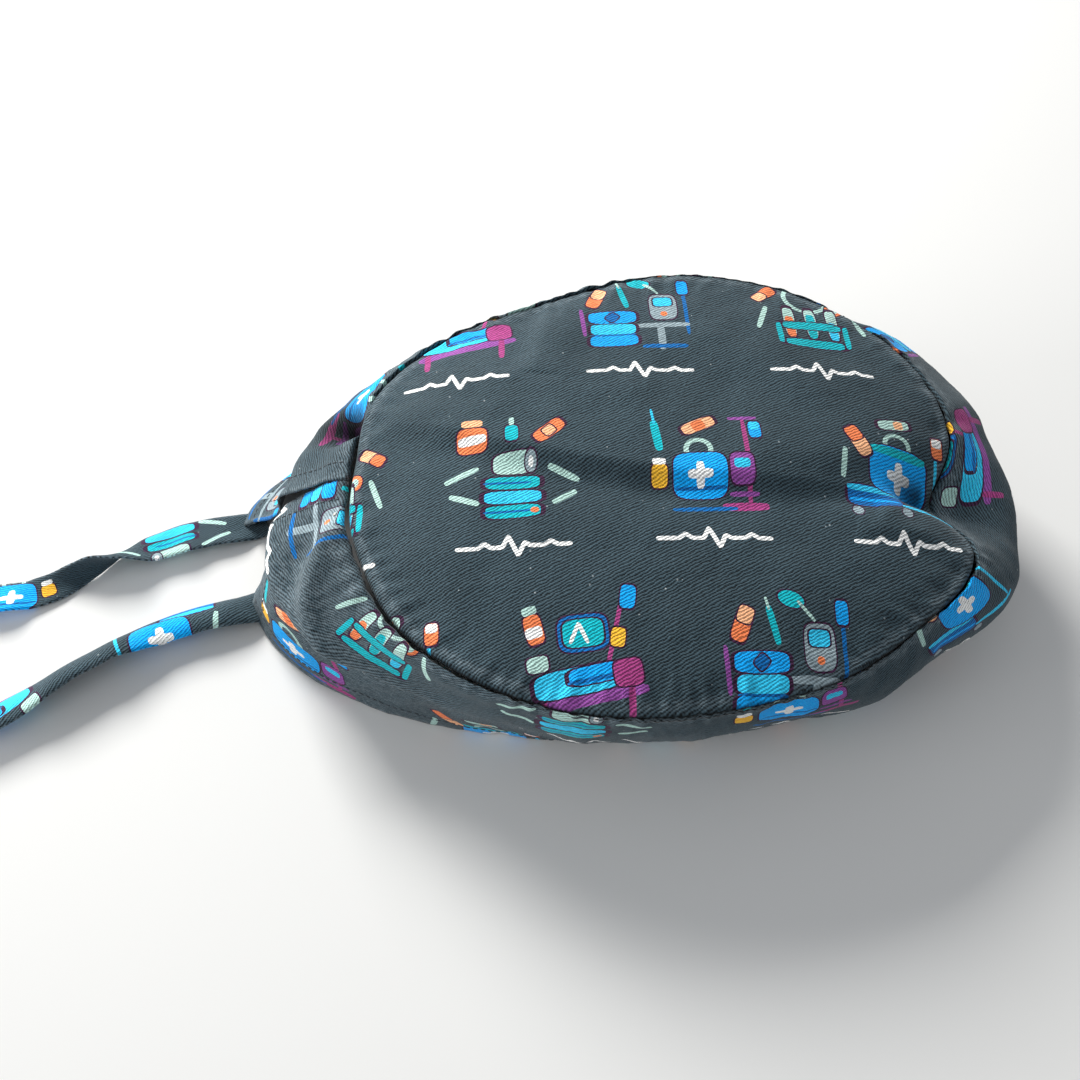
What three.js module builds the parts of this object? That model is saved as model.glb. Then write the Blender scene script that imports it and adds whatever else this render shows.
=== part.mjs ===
// A tie-back surgical scrub cap of cotton twill, lying crown up as it would on a table.
//
// Millimetres, +Z up. +X points to the forehead, the ties leave towards -X, and the hem
// stands on z = 0. The cap is an oval top panel (the crown) with one long side panel (the
// band) sewn round it. The band's two ends meet at the back, where each carries a flat tie.

import * as THREE from 'three';

// ---------------------------------------------------------------- driving dimensions

const CLOTH = 1.5;            // wall of one panel, its seam allowance and creasing included
const SEAM_GAP = 0.4;         // clear gap between the crown and the band along their seam
const HEM_WIDTH = 3;          // foot of the band, where the cloth is folded up on itself

const CROWN_X = 15.4;         // the oval's middle in the part's frame
const CROWN_Y = -14.9;
const CROWN_BASE_Z = 60;      // height of a flat oval at the middle of the crown
const CROWN_RISE = 16;        // how far the cloth domes above that
const CROWN_CELLS = 26;       // the crown's mesh is a square of cells drawn out to the oval

const BAND_ROWS = 9;          // steps from the seam down to the hem
const RIM_STEPS = 4 * CROWN_CELLS;
const BAND_COLUMNS = RIM_STEPS - 1;   // the rim's last step closes the oval over the slit

const TIE_WIDTH = 18;
const TIE_THICKNESS = 3;      // the strip is folded in on itself and stitched
const TIE_STEPS = 14;

const CLOTH_COLOUR = 0x2d343c;
const TIE_COLOUR = 0x31383f;
const CLOTH_ROUGHNESS = 0.9;

// One row for each section round the cap, seen from above: angle in degrees from the
// forehead, turning towards the far side, then the radius and height of the seam, of the
// bulge under it, of the waist, and the radius of the hem on the table.
const SECTIONS = [
  { angle:   0, seamR: 121, seamZ: 57, bulgeR: 141, bulgeZ: 38, waistR: 134, waistZ: 16, hemR: 122 },
  { angle:  12, seamR: 109, seamZ: 52, bulgeR: 144, bulgeZ: 40, waistR: 138, waistZ: 16, hemR: 126 },
  { angle:  24, seamR: 123, seamZ: 60, bulgeR: 147, bulgeZ: 43, waistR: 140, waistZ: 17, hemR: 127 },
  { angle:  40, seamR: 127, seamZ: 64, bulgeR: 145, bulgeZ: 49, waistR: 138, waistZ: 18, hemR: 126 },
  { angle:  60, seamR: 121, seamZ: 68, bulgeR: 130, bulgeZ: 50, waistR: 126, waistZ: 18, hemR: 116 },
  { angle:  90, seamR: 111, seamZ: 70, bulgeR: 117, bulgeZ: 50, waistR: 113, waistZ: 18, hemR: 104 },
  { angle: 120, seamR: 103, seamZ: 69, bulgeR: 110, bulgeZ: 48, waistR: 109, waistZ: 18, hemR: 103 },
  { angle: 145, seamR: 113, seamZ: 65, bulgeR: 124, bulgeZ: 44, waistR: 127, waistZ: 16, hemR: 127 },
  { angle: 165, seamR: 121, seamZ: 61, bulgeR: 142, bulgeZ: 43, waistR: 148, waistZ: 17, hemR: 158 },
  { angle: 178, seamR: 117, seamZ: 59, bulgeR: 142, bulgeZ: 41, waistR: 156, waistZ: 16, hemR: 174 },
  { angle: 192, seamR: 115, seamZ: 58, bulgeR: 145, bulgeZ: 40, waistR: 152, waistZ: 16, hemR: 165 },
  { angle: 203, seamR: 111, seamZ: 58, bulgeR: 139, bulgeZ: 40, waistR: 138, waistZ: 16, hemR: 149 },
  { angle: 215, seamR: 107, seamZ: 58, bulgeR: 122, bulgeZ: 40, waistR: 119, waistZ: 16, hemR: 126 },
  { angle: 231, seamR:  99, seamZ: 60, bulgeR: 105, bulgeZ: 41, waistR:  99, waistZ: 16, hemR:  99 },
  { angle: 250, seamR:  91, seamZ: 60, bulgeR:  94, bulgeZ: 43, waistR:  86, waistZ: 16, hemR:  80 },
  { angle: 275, seamR:  85, seamZ: 60, bulgeR:  86, bulgeZ: 44, waistR:  77, waistZ: 16, hemR:  70 },
  { angle: 300, seamR:  86, seamZ: 60, bulgeR:  88, bulgeZ: 44, waistR:  79, waistZ: 16, hemR:  72 },
  { angle: 320, seamR:  94, seamZ: 60, bulgeR:  99, bulgeZ: 44, waistR:  90, waistZ: 16, hemR:  82 },
  { angle: 340, seamR: 105, seamZ: 59, bulgeR: 116, bulgeZ: 43, waistR: 107, waistZ: 16, hemR:  97 },
];

// Soft creases of the crown, one row for each: a line from one plan point to another about
// the oval's middle, how far it bows to the far side, and its cross-section. The cloth
// swells to `height` over `above` on its far side, drops over `drop` to `dip` on its near
// side, and recovers over `below`.
const CREASES = [
  { fromX: -117, fromY: 22, toX: 104, toY: 22, bow: -16, height: 3.5, above: 30, drop: 8, dip: 2.5, below: 30 },
  { fromX:   84, fromY:  8, toX: 116, toY:  7, bow: 5, height: 3.5, above: 6, drop: 8, dip: 0, below: 10 },
];

// Dents of the crown, one row for each: a plan point, the half-widths and the depth.
const DENTS = [
  { x: 103, y:  21, halfX: 10, halfY: 5, depth: 9 },
  { x: -30, y: -48, halfX: 45, halfY: 26, depth: 3 },
];

// Plan routes of the ties, from the hem corner to the free end, as hand-placed points.
const TIE_NEAR_ROUTE = [
  [-144.5, -53.6], [-163, -60], [-177, -68], [-190, -79], [-203, -93], [-216, -107], [-230, -119], [-246, -130],
];
const TIE_FAR_ROUTE = [
  [-158.5, -16], [-172, -21], [-185, -28], [-200, -37], [-214, -46], [-230, -58], [-248, -66], [-270, -71],
];

// ---------------------------------------------------------------- section curves

const DEGREES = Math.PI / 180;
const FULL_TURN = 360;

// Smooth curve through four values at positions that need not be evenly spaced: the
// value between the middle two.
function throughPoints(x, positions, values) {
  const [x0, x1, x2, x3] = positions;
  const [y0, y1, y2, y3] = values;
  const span = x2 - x1;
  const s = (x - x1) / span;
  const startSlope = ((y2 - y0) / (x2 - x0)) * span;
  const endSlope = ((y3 - y1) / (x3 - x1)) * span;
  const s2 = s * s;
  const s3 = s2 * s;
  return (2 * s3 - 3 * s2 + 1) * y1 + (s3 - 2 * s2 + s) * startSlope
    + (3 * s2 - 2 * s3) * y2 + (s3 - s2) * endSlope;
}

// A column of SECTIONS at any angle, joined into a closed smooth curve round the cap.
function section(column, degrees) {
  const turn = ((degrees % FULL_TURN) + FULL_TURN) % FULL_TURN;
  const count = SECTIONS.length;
  let row = count - 1;
  while (SECTIONS[row].angle > turn) row -= 1;
  const positions = [];
  const values = [];
  for (let step = -1; step <= 2; step += 1) {
    const index = (row + step + count) % count;
    const laps = Math.floor((row + step) / count);
    positions.push(SECTIONS[index].angle + laps * FULL_TURN);
    values.push(SECTIONS[index][column]);
  }
  return throughPoints(turn, positions, values);
}

// The slit at the back: the angle of each end of the band, from the seam (down = 0) to the
// hem (down = 1). Each end runs out to its own hem corner.
const nearEnd = (down) => 183.2 + 9.8 * down ** 2.4;
const farEnd = (down) => 182.4 - 2.4 * down ** 2;

function bandAngle(across, down) {
  const start = nearEnd(down);
  return start + across * (FULL_TURN + farEnd(down) - start);
}

// Fractions down the band of its seam, bulge, waist and hem, and a stop past either end
// that steers how the curve leaves the seam and meets the table.
const STOPS = [-0.33, 0, 0.33, 0.68, 1, 1.32];
const SEAM_ROLL = 1.3;        // how fully the cloth rolls over just under the seam

function withStopsPastEnds([seam, bulge, waist, hem]) {
  return [seam - SEAM_ROLL * (bulge - seam), seam, bulge, waist, hem, 2 * hem - waist];
}

// The band's profile at an angle: its radius and height at a fraction down from the seam.
function bandProfile(degrees, down) {
  const at = (column) => section(column, degrees);
  const radii = withStopsPastEnds([at('seamR') + SEAM_GAP / 2, at('bulgeR'), at('waistR'), at('hemR')]);
  const heights = withStopsPastEnds([at('seamZ'), at('bulgeZ'), at('waistZ'), 0]);
  let leg = 0;
  while (leg < 2 && down >= STOPS[leg + 2]) leg += 1;
  const here = (list) => list.slice(leg, leg + 4);
  return {
    radius: throughPoints(down, here(STOPS), here(radii)),
    height: throughPoints(down, here(STOPS), here(heights)),
  };
}

function bandPoint(across, down) {
  const degrees = bandAngle(across, down);
  const { radius, height } = bandProfile(degrees, down);
  const angle = degrees * DEGREES;
  return new THREE.Vector3(radius * Math.cos(angle), radius * Math.sin(angle), height);
}

// ---------------------------------------------------------------- the crown's surface

function creaseHeight(crease, x, y) {
  const runX = crease.toX - crease.fromX;
  const runY = crease.toY - crease.fromY;
  const length = Math.hypot(runX, runY);
  const along = ((x - crease.fromX) * runX + (y - crease.fromY) * runY) / (length * length);
  if (along <= 0 || along >= 1) return 0;
  const bow = crease.bow * Math.sin(along * Math.PI);
  const side = ((y - crease.fromY) * runX - (x - crease.fromX) * runY) / length - bow;
  const fade = Math.sin(along * Math.PI) ** 0.5;
  if (side >= 0) return fade * crease.height * Math.exp(-((side / crease.above) ** 2));
  const fall = Math.exp(-((side / crease.drop) ** 2));
  return fade * (crease.height * fall - crease.dip * (1 - fall) * Math.exp(-((side / crease.below) ** 2)));
}

function dentDepth(dent, x, y) {
  return dent.depth * Math.exp(-(((x - dent.x) / dent.halfX) ** 2) - ((y - dent.y) / dent.halfY) ** 2);
}

// A point of the crown's top: out = 0 at its middle, 1 at the seam. The folds fade towards
// the seam, so that the crown still meets the band there.
function crownPoint(degrees, out) {
  const angle = degrees * DEGREES;
  const radius = out * (section('seamR', degrees) - SEAM_GAP / 2);
  const x = radius * Math.cos(angle);
  const y = radius * Math.sin(angle);
  const seamZ = section('seamZ', degrees);
  let z = CROWN_BASE_Z + (seamZ - CROWN_BASE_Z) * out ** 2 + CROWN_RISE * (1 - out ** 3);
  const hold = 1 - out ** 8;
  for (const crease of CREASES) z += hold * creaseHeight(crease, x, y);
  for (const dent of DENTS) z -= hold * dentDepth(dent, x, y);
  return new THREE.Vector3(x, y, z);
}

// ---------------------------------------------------------------- closed bodies

// Joins a list of points and a list of point-number triangles into one geometry.
function body(points, triangles) {
  const geometry = new THREE.BufferGeometry().setFromPoints(points);
  geometry.setIndex(triangles);
  geometry.computeVertexNormals();
  return geometry;
}

function addQuad(triangles, a, b, c, d) {
  triangles.push(a, b, c, a, c, d);
}

// Outward direction of the band's cloth, from its neighbours along and down the panel.
function bandNormal(across, down) {
  const step = 0.004;
  const acrossLow = Math.max(0, across - step);
  const acrossHigh = Math.min(1, across + step);
  const downLow = Math.max(0, down - step);
  const downHigh = Math.min(1, down + step);
  const alongCloth = bandPoint(acrossHigh, down).sub(bandPoint(acrossLow, down));
  const downCloth = bandPoint(across, downHigh).sub(bandPoint(across, downLow));
  return downCloth.cross(alongCloth).normalize();
}

// The inside face: straight below the seam edge, square behind the cloth further down, and
// level with the table under the hem.
function bandInside(across, down) {
  const outside = bandPoint(across, down);
  if (down === 0) return outside.add(new THREE.Vector3(0, 0, -CLOTH));
  if (down === 1) {
    const inwards = new THREE.Vector3(-outside.x, -outside.y, 0).normalize();
    return outside.addScaledVector(inwards, HEM_WIDTH);
  }
  return outside.addScaledVector(bandNormal(across, down), -CLOTH);
}

function bandGeometry() {
  const points = [];
  const rows = BAND_ROWS + 1;
  const columns = BAND_COLUMNS + 1;
  for (const face of [bandPoint, bandInside]) {
    for (let row = 0; row < rows; row += 1) {
      for (let column = 0; column < columns; column += 1) {
        points.push(face(column / BAND_COLUMNS, row / BAND_ROWS));
      }
    }
  }
  const outer = (row, column) => row * columns + column;
  const inner = (row, column) => rows * columns + row * columns + column;
  const triangles = [];
  for (let row = 0; row < BAND_ROWS; row += 1) {
    for (let column = 0; column < BAND_COLUMNS; column += 1) {
      addQuad(triangles, outer(row, column), outer(row + 1, column),
        outer(row + 1, column + 1), outer(row, column + 1));
      addQuad(triangles, inner(row, column), inner(row, column + 1),
        inner(row + 1, column + 1), inner(row + 1, column));
    }
    addQuad(triangles, inner(row, 0), inner(row + 1, 0), outer(row + 1, 0), outer(row, 0));
    addQuad(triangles, outer(row, BAND_COLUMNS), outer(row + 1, BAND_COLUMNS),
      inner(row + 1, BAND_COLUMNS), inner(row, BAND_COLUMNS));
  }
  for (let column = 0; column < BAND_COLUMNS; column += 1) {
    addQuad(triangles, outer(0, column), outer(0, column + 1), inner(0, column + 1), inner(0, column));
    addQuad(triangles, outer(BAND_ROWS, column), inner(BAND_ROWS, column),
      inner(BAND_ROWS, column + 1), outer(BAND_ROWS, column + 1));
  }
  return body(points, triangles);
}

// A mesh point of the crown, cells counted along and across its square: how far out it lies,
// and its angle. The square's edge is the rim, whose steps meet the band's columns.
function crownCell(along, across) {
  const a = (2 * along) / CROWN_CELLS - 1;
  const b = (2 * across) / CROWN_CELLS - 1;
  const out = Math.max(Math.abs(a), Math.abs(b));
  if (out === 0) return crownPoint(0, 0);
  let turn = 0;
  if (a === out) turn = (b / out) / 8;
  else if (b === out) turn = 1 / 4 - (a / out) / 8;
  else if (a === -out) turn = 1 / 2 - (b / out) / 8;
  else turn = 3 / 4 + (a / out) / 8;
  const column = (turn < 0 ? turn + 1 : turn) * RIM_STEPS;
  const overSlit = Math.max(0, column - BAND_COLUMNS);
  const rimAngle = bandAngle(Math.min(1, column / BAND_COLUMNS), 0);
  return crownPoint(rimAngle + overSlit * (nearEnd(0) - farEnd(0)), out);
}

function crownGeometry() {
  const columns = CROWN_CELLS + 1;
  const points = [];
  for (const drop of [0, CLOTH]) {
    for (let along = 0; along < columns; along += 1) {
      for (let across = 0; across < columns; across += 1) {
        points.push(crownCell(along, across).add(new THREE.Vector3(0, 0, -drop)));
      }
    }
  }
  const top = (along, across) => along * columns + across;
  const under = (along, across) => columns * columns + top(along, across);
  const last = CROWN_CELLS;
  const triangles = [];
  for (let i = 0; i < last; i += 1) {
    for (let j = 0; j < last; j += 1) {
      addQuad(triangles, top(i, j), top(i + 1, j), top(i + 1, j + 1), top(i, j + 1));
      addQuad(triangles, under(i, j), under(i, j + 1), under(i + 1, j + 1), under(i + 1, j));
    }
    addQuad(triangles, top(i, 0), under(i, 0), under(i + 1, 0), top(i + 1, 0));
    addQuad(triangles, top(i + 1, last), under(i + 1, last), under(i, last), top(i, last));
    addQuad(triangles, top(0, i + 1), under(0, i + 1), under(0, i), top(0, i));
    addQuad(triangles, top(last, i), under(last, i), under(last, i + 1), top(last, i + 1));
  }
  return body(points, triangles);
}

// A flat tie laid on the table along its plan route: a chamfered strip section.
function tieGeometry(route) {
  const halfThick = TIE_THICKNESS / 2;
  const halfWide = TIE_WIDTH / 2;
  const chamfer = halfThick * 0.5;
  const outline = new THREE.Shape([
    new THREE.Vector2(-halfThick, -halfWide + chamfer),
    new THREE.Vector2(-halfThick + chamfer, -halfWide),
    new THREE.Vector2(halfThick - chamfer, -halfWide),
    new THREE.Vector2(halfThick, -halfWide + chamfer),
    new THREE.Vector2(halfThick, halfWide - chamfer),
    new THREE.Vector2(halfThick - chamfer, halfWide),
    new THREE.Vector2(-halfThick + chamfer, halfWide),
    new THREE.Vector2(-halfThick, halfWide - chamfer),
  ]);
  const path = new THREE.CatmullRomCurve3(route.map(([x, y]) => new THREE.Vector3(x, y, halfThick)));
  return new THREE.ExtrudeGeometry(outline, { steps: TIE_STEPS, extrudePath: path, curveSegments: 1 });
}

// ---------------------------------------------------------------- the cap

function twill(colour) {
  return new THREE.MeshStandardMaterial({ color: colour, roughness: CLOTH_ROUGHNESS, metalness: 0 });
}

function piece(name, geometry, colour) {
  const mesh = new THREE.Mesh(geometry, twill(colour));
  mesh.name = name;
  return mesh;
}

const cap = new THREE.Group();

const panels = new THREE.Group();
panels.position.set(CROWN_X, CROWN_Y, 0);
panels.add(piece('crown', crownGeometry(), CLOTH_COLOUR));
panels.add(piece('band', bandGeometry(), CLOTH_COLOUR));
cap.add(panels);

cap.add(piece('tie_near', tieGeometry(TIE_NEAR_ROUTE), TIE_COLOUR));
cap.add(piece('tie_far', tieGeometry(TIE_FAR_ROUTE), TIE_COLOUR));

export default cap;
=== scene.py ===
# %% [markdown]
# # A tie-back surgical scrub cap
# A surgeon's cloth cap lies crown up on a table. It is cut from printed charcoal cotton
# twill: an oval crown on top, one long band sewn round it and left open at the back, and
# a flat tie at each of the two hem corners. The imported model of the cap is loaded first.
# It gives the place and size of every part, and the cloth made below is laid around it.

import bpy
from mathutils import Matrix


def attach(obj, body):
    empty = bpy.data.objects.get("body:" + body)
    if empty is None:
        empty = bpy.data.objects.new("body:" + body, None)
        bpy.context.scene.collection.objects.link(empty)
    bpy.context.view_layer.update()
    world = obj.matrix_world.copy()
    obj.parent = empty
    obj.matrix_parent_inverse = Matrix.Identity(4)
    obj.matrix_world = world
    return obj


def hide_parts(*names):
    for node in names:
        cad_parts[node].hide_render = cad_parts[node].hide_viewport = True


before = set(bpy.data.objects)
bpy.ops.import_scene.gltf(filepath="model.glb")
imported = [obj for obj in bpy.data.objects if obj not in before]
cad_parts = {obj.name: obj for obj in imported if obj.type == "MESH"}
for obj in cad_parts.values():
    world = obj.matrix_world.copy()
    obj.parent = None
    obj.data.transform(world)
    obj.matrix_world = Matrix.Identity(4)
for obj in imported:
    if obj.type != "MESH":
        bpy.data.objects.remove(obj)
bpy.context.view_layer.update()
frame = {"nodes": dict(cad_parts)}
print("solid parts:", ", ".join(frame["nodes"]))

# %% [markdown]
# ## The camera
# The cap is seen from its near side, from well above the table. A camera in Blender looks
# along its own -Z axis, so it is tipped up from straight down by what is left of a right
# angle, and then turned about the vertical. The lens is a wide normal one, held close,
# which makes the near side of the cloth a little larger than the far side.

# %% Place the camera
import math
import bpy

CAMERA_PLACE = (0.00875, -0.2452, 0.4123)
CAMERA_ELEVATION = 59
CAMERA_AZIMUTH = 9
CAMERA_LENS = 36.9


def in_scene(name, data, place=(0, 0, 0)):
    """A new object in the scene, at a place in metres."""
    made = bpy.data.objects.new(name, data)
    made.location = place
    bpy.context.collection.objects.link(made)
    return made


camera_data = bpy.data.cameras.new("camera")
camera_data.lens = CAMERA_LENS
camera_data.sensor_width = 36
camera = in_scene("camera", camera_data, CAMERA_PLACE)
camera.rotation_euler = (math.radians(90 - CAMERA_ELEVATION), 0, math.radians(CAMERA_AZIMUTH))
bpy.context.scene.camera = camera
print("camera", round(1000 * camera.location.z), "mm above the table")

# %% [markdown]
# ## Cloth as a grid of points
# Every piece of this cap is cloth, so every piece starts as a grid: rows and columns of
# points, with a face in each cell. A grid can be written by hand in the Edit mode, or
# drawn as a plane and subdivided, but a function that gives the place of each point lets
# the folds be measured in millimetres. The grid also keeps a UV map called `cloth`, which
# says where each point was on the flat cloth, in metres. Weave and print follow that map,
# so they bend and stretch with the cloth as real ones do.

# %% A helper that turns a grid into a mesh
import numpy as np

MM = 0.001


def cloth_object(name, points, flat, faces, wear_and_painted_light):
    """A mesh object from points in millimetres, their flat places in millimetres, and
    a value at each point for rubbing and painted light: 1 is pale, below 0 is painted shade."""
    mesh = bpy.data.meshes.new(name)
    mesh.from_pydata((points * MM).tolist(), [], faces.tolist())
    layer = mesh.uv_layers.new(name="cloth")
    corners = np.empty(len(mesh.loops), dtype=np.int32)
    mesh.loops.foreach_get("vertex_index", corners)
    layer.data.foreach_set("uv", (flat[corners] * MM).astype(np.float32).ravel())
    wear_and_light = mesh.attributes.new("wear_and_painted_light", "FLOAT", "POINT")
    wear_and_light.data.foreach_set("value", wear_and_painted_light.astype(np.float32))
    mesh.shade_smooth()
    return in_scene(name, mesh)


def grid_faces(rows, columns, closed=False):
    """Four corner numbers for each cell of a grid counted row by row."""
    last = columns if closed else columns - 1
    row, column = np.meshgrid(np.arange(rows - 1), np.arange(last), indexing="ij")
    after = (column + 1) % columns
    corners = [row * columns + column, (row + 1) * columns + column,
               (row + 1) * columns + after, row * columns + after]
    return np.stack(corners, -1).reshape(-1, 4)


print("a grid of 3 by 4 points has", len(grid_faces(3, 4)), "faces")

# %% [markdown]
# ## Smooth curves and cloth noise
# A few more helpers are used by all the pieces. The first draws a smooth curve through
# given values, as a bent spline does on a drawing board. The second gives a gentle
# random height at any place, from Blender's own noise library. It always gives the same
# height at the same place, so the cap looks the same each time it is made.

# %% Helpers for curves and wrinkles
from mathutils import Vector, noise


def through(x, positions, values):
    """The smooth curve through four values, read between the middle two."""
    x0, x1, x2, x3 = (positions[..., k] for k in range(4))
    y0, y1, y2, y3 = (values[..., k] for k in range(4))
    span = x2 - x1
    s = (x - x1) / span
    start = (y2 - y0) / (x2 - x0) * span
    end = (y3 - y1) / (x3 - x1) * span
    return ((2 * s**3 - 3 * s**2 + 1) * y1 + (s**3 - 2 * s**2 + s) * start
            + (3 * s**2 - 2 * s**3) * y2 + (s**3 - s**2) * end)


def wrinkle(a, b, size_a, size_b, seed):
    """Gentle random heights from about -0.5 to 0.5, as wide as the two sizes."""
    flat = zip((a / size_a).ravel().tolist(), (b / size_b).ravel().tolist())
    heights = [noise.noise(Vector((x, y, seed))) for x, y in flat]
    return np.array(heights).reshape(np.shape(a))


def bump(x, middle, half):
    """A soft hill 1 high that is about two halves wide."""
    return np.exp(-(((x - middle) / half) ** 2))


def fade(x, low, high):
    """A smooth step from 0 at low to 1 at high."""
    s = np.clip((x - low) / (high - low), 0, 1)
    return s * s * (3 - 2 * s)


def unit(v):
    """Directions made one long."""
    return v / np.linalg.norm(v, axis=-1, keepdims=True)


def length_along(points):
    """The length of a line of points, counted from its start to each of them."""
    return np.concatenate([[0], np.cumsum(np.linalg.norm(np.diff(points, axis=0), axis=1))])


print("half-way up a smooth step from 0 to 4:", fade(2.0, 0, 4))

# %% [markdown]
# ## The ties
# Each tie is a strip of the same twill, folded in on its raw edges and stitched flat, so
# it is about 18 mm wide and 2 mm thick. It is limp. It comes out from under the hem corner,
# rolls over on its edge where it was last knotted, and lies on the table. A tie could be a
# curve with a bevel, but a bevel keeps one outline, and this strip curls as it goes. So it
# is a mesh swept along a route, and a table gives its roll and curl along the way.

# %% Tables for the ties
TIE_WIDTH = 18
TIE_THICK = 1.9
TIE_LIFT = 0.4          # clear space between the cloth and the table
TIE_STATIONS = 150      # rings of points along a tie
TIE_ACROSS = 12         # faces across one side of it
TIE_SMOOTHING = 9       # stations over which the roll and curl are evened out
TIE_CRUMPLE = 1.1       # height of its small waves
TIE_ROUND_LENGTH = 125  # a round length of a tie, to measure its waves by
TIE_EDGE_THIN = 0.55    # share of the thickness that is lost at the edges

# plan route from the hem corner to the free end, in millimetres
TIE_ROUTES = {
    "tie_near": [(-144.5, -54.2), (-163, -62.5), (-177, -71), (-190, -80.5), (-203, -92),
                 (-216, -105.5), (-230, -118.5), (-246, -130)],
    "tie_far": [(-158.5, -16), (-172, -21), (-185, -28), (-200, -37), (-214, -46),
                (-230, -58), (-248, -66), (-270, -71)],
}

# where each tie is sewn in, a little inside the hem corner
TIE_ROOTS = {"tie_near": (-135, -49.5), "tie_far": (-149, -11.5)}

# share of the length, roll in degrees, curl across the strip in degrees, width drawn in
TIE_LIES = {
    "tie_near": [(0.00, 2, 6, 0.85), (0.07, 8, -30, 0.88), (0.17, 28, -105, 1.0),
                 (0.36, 30, -110, 1.0), (0.50, 48, -84, 1.0), (0.66, 48, -80, 1.0),
                 (0.82, 32, -60, 1.0), (1.00, 26, -40, 1.0)],
    "tie_far": [(0.00, 0, 4, 0.72), (0.08, 0, 10, 0.76), (0.18, 10, 30, 0.88),
                (0.34, 16, 16, 1.0), (0.46, 18, 10, 0.92), (0.57, 70, -40, 0.70),
                (0.66, 130, -60, 0.62), (0.76, 176, -40, 0.72), (0.87, 200, -20, 0.92),
                (1.00, 202, 0, 1.0)],
}
print("ties:", ", ".join(TIE_ROUTES))

# %% [markdown]
# At each station the strip is drawn across its route. The roll and the curl give the tilt
# of every step across it, and the steps are added up, so the strip keeps its width however
# it curls. Then it is set down on the table by its lowest point.

# %% Sweep the ties along their routes


def spline(points, shares):
    """Points along a smooth open curve, at shares of its number of legs."""
    points = np.array(points, float)
    padded = np.vstack([2 * points[0] - points[1], points, 2 * points[-1] - points[-2]])
    legs = len(points) - 1
    where = np.clip(np.asarray(shares) * legs, 0, legs - 1e-9)
    leg = where.astype(int)
    near = leg[:, None] + np.arange(4)
    return np.stack([through(where, near - 1.0, padded[near, axis])
                     for axis in range(points.shape[1])], -1)


def table_columns(rows, shares):
    """Every column of a table, read at shares of the length."""
    rows = np.array(rows, float).T
    return [np.interp(shares, rows[0], column) for column in rows[1:]]


def swept_tie(name):
    """Rings of points along a tie, its middle line and its flat places."""
    shares = np.linspace(0, 1, TIE_STATIONS)
    plan = spline([TIE_ROOTS[name]] + TIE_ROUTES[name], shares)
    ahead = unit(np.gradient(plan, axis=0))
    aside = np.stack([-ahead[:, 1], ahead[:, 0]], -1)
    roll, curl, drawn_in = table_columns(TIE_LIES[name], shares)
    soft = np.ones(TIE_SMOOTHING) / TIE_SMOOTHING
    roll, curl = (np.convolve(np.pad(v, TIE_SMOOTHING // 2, "edge"), soft, "valid")
                  for v in (roll, curl))
    across = np.linspace(-0.5, 0.5, TIE_ACROSS + 1)
    tilt = np.radians(roll[:, None] + curl[:, None] * across)
    step = TIE_WIDTH * drawn_in[:, None] / TIE_ACROSS
    side = np.cumsum(np.cos(tilt) * step, axis=1)
    up = np.cumsum(np.sin(tilt) * step, axis=1)
    side -= side.mean(axis=1, keepdims=True)
    along = shares[:, None] * TIE_ROUND_LENGTH + 0 * up
    crumple = TIE_CRUMPLE * wrinkle(along, side, 11, 9, len(name))
    thick = TIE_THICK / 2 * (1 - TIE_EDGE_THIN * (2 * np.abs(across)) ** 6)
    upper, lower = (np.stack([side - np.sin(tilt) * out, up + crumple + np.cos(tilt) * out], -1)
                    for out in (thick, -thick))
    ring = np.concatenate([upper, lower[:, ::-1]], axis=1)
    ring[..., 1] += TIE_LIFT - ring[..., 1].min(axis=1, keepdims=True)
    points = np.concatenate([plan[:, None] + aside[:, None] * ring[..., :1], ring[..., 1:]], -1)
    middle = points.mean(axis=1)
    flat_v = np.concatenate([across, across[::-1]]) * TIE_WIDTH
    flat = np.stack(np.broadcast_arrays(length_along(middle)[:, None], flat_v), -1)
    return points, middle, flat


print("the route of the far tie passes", len(TIE_ROUTES["tie_far"]), "points")

# %% [markdown]
# A swept strip is an open tube until its ends are filled. Then each tie is hung from the
# cap's root, and the imported solid of the tie is hidden.

TIE_PRINT_PLACE = {"tie_near": (28, -9), "tie_far": (319, -7)}
EDGE_WEAR = 0.8         # how worn a folded edge is
ties = {}
for name in TIE_ROUTES:
    points, middle, flat = swept_tie(name)
    around = points.shape[1]
    faces = [grid_faces(TIE_STATIONS, around, closed=True)[:, ::-1]]
    for first, order in ((0, 1), (around * (TIE_STATIONS - 1), -1)):
        end = first + np.arange(around)
        faces.append(np.array([[end[k], end[k + 1], end[-2 - k], end[-1 - k]][::order]
                               for k in range(TIE_ACROSS)]))
    wear_and_painted_light = np.zeros(points.shape[:2])
    wear_and_painted_light[:, [0, TIE_ACROSS, TIE_ACROSS + 1, -1]] = EDGE_WEAR
    tie = cloth_object(name + "_cloth", points.reshape(-1, 3),
                       (flat + TIE_PRINT_PLACE[name]).reshape(-1, 2), np.vstack(faces),
                       wear_and_painted_light.ravel())
    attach(tie, "root")
    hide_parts(name)
    ties[name] = tie

# %% [markdown]
# ## The shape of the cap
# A cap off the head slumps. One table describes it: for each direction round the cap, how
# far out and how high the seam is, then the bulge under it, the waist, and the hem on the
# table. Nineteen listed rows would look like a faceted lampshade if they were joined
# straight, so every column is read through the smooth curve made above.

# %% Table of sections round the cap
CROWN_MIDDLE = (15.4, -14.9)
SEAM_GAP = 0.4          # between the crown's edge and the band's
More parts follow.
